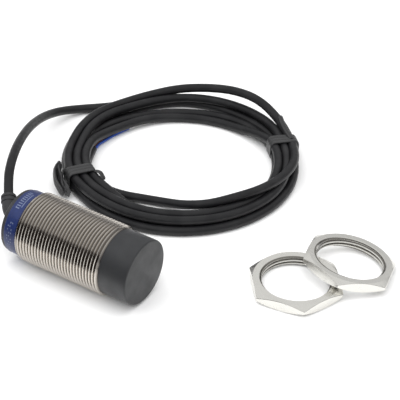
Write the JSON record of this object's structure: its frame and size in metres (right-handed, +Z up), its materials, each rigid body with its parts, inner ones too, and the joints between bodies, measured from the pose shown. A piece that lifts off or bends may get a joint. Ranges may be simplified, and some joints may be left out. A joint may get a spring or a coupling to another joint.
{
  "type": "inductive proximity sensor",
  "caption": "Cylindrical threaded inductive proximity sensor with a plastic sensing cap, blue light ring, coiled lead and two loose hexagon locknuts.",
  "frame": {"origin": "centre of the sensing face", "axes": "+X is the way the sensing face looks, along the barrel's axis; +Z is up; the barrel, cable and nuts lie on the floor 15 mm below the axis"},
  "size_m": [0.191, 0.1631, 0.03],
  "materials": {
    "nickel_thread": "nickel plated brass, cut thread",
    "cap_plastic": "fine moulded grain",
    "seal_rubber": "smooth",
    "blue_ring": "translucent satin",
    "rear_plastic": "moulded",
    "ferrite": "sintered ferrite",
    "bobbin_plastic": "moulded",
    "copper_wire": "enamelled copper",
    "board": "solder mask",
    "chip_black": "moulded epoxy",
    "tantalum": "moulded",
    "ceramic": "sintered ceramic",
    "led_amber": "clear amber",
    "wire_brown": "PVC insulation",
    "wire_blue": "PVC insulation",
    "wire_black": "PVC insulation",
    "solder": "solder",
    "resin": "cast resin",
    "clamp_steel": "crimped steel",
    "boot_rubber": "satin",
    "cable_jacket": "satin PVC jacket",
    "tie_plastic": "ribbed plastic-covered wire",
    "tinned_copper": "tinned strands",
    "nut_nickel": "nickel plated brass, satin"
  },
  "bodies": {
    "root": {"threaded_barrel": "nickel_thread", "sensing_cap": "cap_plastic", "front_o_ring": "seal_rubber", "rear_o_ring": "seal_rubber", "light_ring": "blue_ring", "rear_cap": "rear_plastic", "ferrite_core": "ferrite", "coil_bobbin": "bobbin_plastic", "coil_winding": "copper_wire", "coil_leads": "copper_wire", "core_carrier": "bobbin_plastic", "circuit_board": "board", "oscillator_chip": "chip_black", "output_transistor": "chip_black", "smoothing_capacitors": "tantalum", "ceramic_capacitors": "ceramic", "chip_resistors": "chip_black", "protection_diodes": "chip_black", "voltage_regulator": "chip_black", "led_board": "board", "indicator_leds": "led_amber", "inner_wire_brown": "wire_brown", "inner_wire_blue": "wire_blue", "inner_wire_black": "wire_black", "solder_joints": "solder", "potting_compound": "resin", "cable_clamp": "clamp_steel", "cable_grommet": "seal_rubber", "strain_relief": "boot_rubber", "cable_entry": "cable_jacket", "cable_lead": "cable_jacket", "cable_coil": "cable_jacket", "cable_tie_left": "tie_plastic", "cable_tie_right": "tie_plastic", "conductor_blue": "wire_blue", "conductor_brown": "wire_brown", "conductor_black": "wire_black", "conductor_tips": "tinned_copper"},
    "nut_a": {"locknut_a": "nut_nickel"},
    "nut_b": {"locknut_b": "nut_nickel"}
  },
  "joints": [
    {"name": "locknut_a_lift", "type": "slide", "parent": "root", "child": "nut_a", "axis": [0, 0, 1], "range_m": [0, 0.04]},
    {"name": "locknut_b_lift", "type": "slide", "parent": "nut_a", "child": "nut_b", "axis": [0, 0, 1], "range_m": [0, 0.04]}
  ]
}
